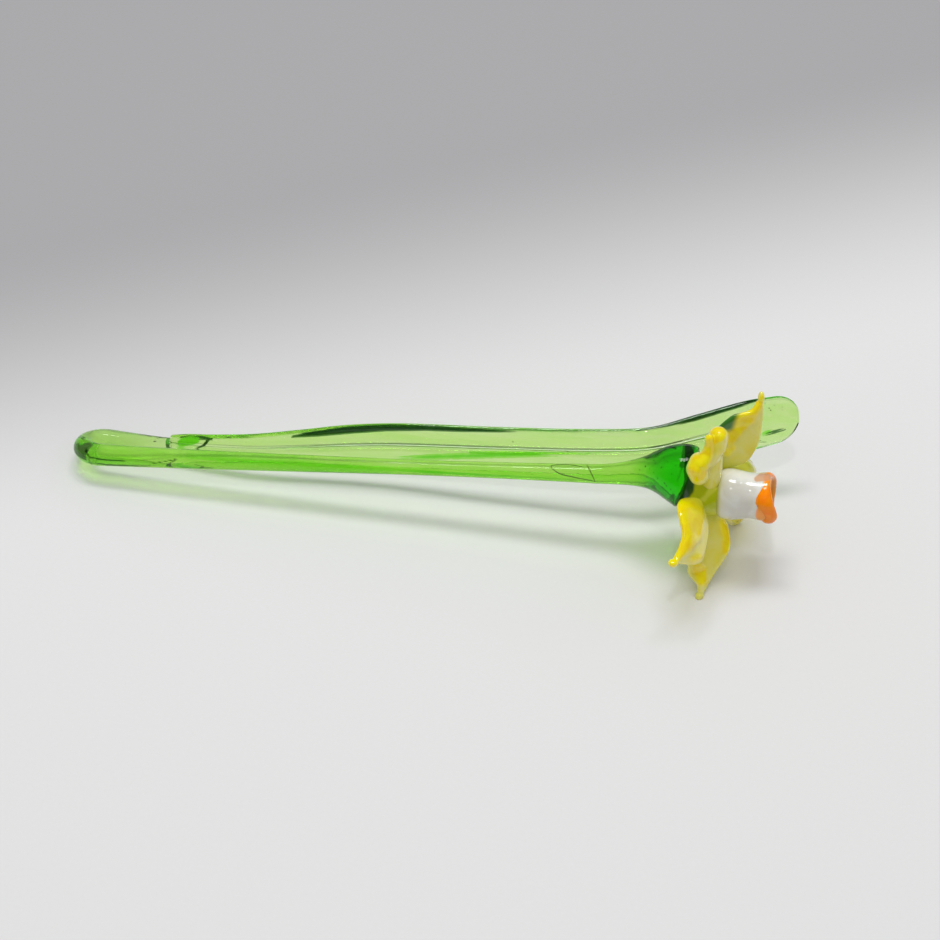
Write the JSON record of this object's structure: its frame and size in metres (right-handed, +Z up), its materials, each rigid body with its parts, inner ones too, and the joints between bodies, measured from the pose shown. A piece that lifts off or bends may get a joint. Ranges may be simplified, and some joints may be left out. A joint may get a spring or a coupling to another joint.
{
  "type": "glass daffodil flower",
  "caption": "Flame-worked glass daffodil lying down: green rod stem with a hairpin foot, pale green leaf, yellow petals and a white cup with an orange lip.",
  "frame": {"origin": "middle of the small flat spot under the foot, where the short leg of the stem rests on the table", "axes": "+X along the stem from the foot to the flower, +Z up from the table, -Y towards the side that the picture is taken from"},
  "size_m": [0.1951, 0.0613, 0.0487],
  "materials": {
    "green_glass": "clear green glass, fire polished",
    "pale_green_glass": "clear pale green glass, fire polished",
    "deep_green_glass": "clear deep green glass, fire polished",
    "yellow_green_glass": "cloudy yellow-green glass, fire polished",
    "yellow_glass": "cloudy yellow glass, fire polished",
    "white_glass": "opal white glass, fire polished",
    "orange_glass": "opaque orange glass, fire polished"
  },
  "bodies": {
    "root": {"stem": "green_glass", "leaf": "pale_green_glass", "neck": "deep_green_glass", "flower_boss": "yellow_green_glass", "petal_1": "yellow_glass", "petal_2": "yellow_glass", "petal_3": "yellow_glass", "petal_4": "yellow_glass", "petal_5": "yellow_glass", "petal_6": "yellow_glass", "cup": "white_glass", "cup_lip": "orange_glass"}
  },
  "joints": []
}
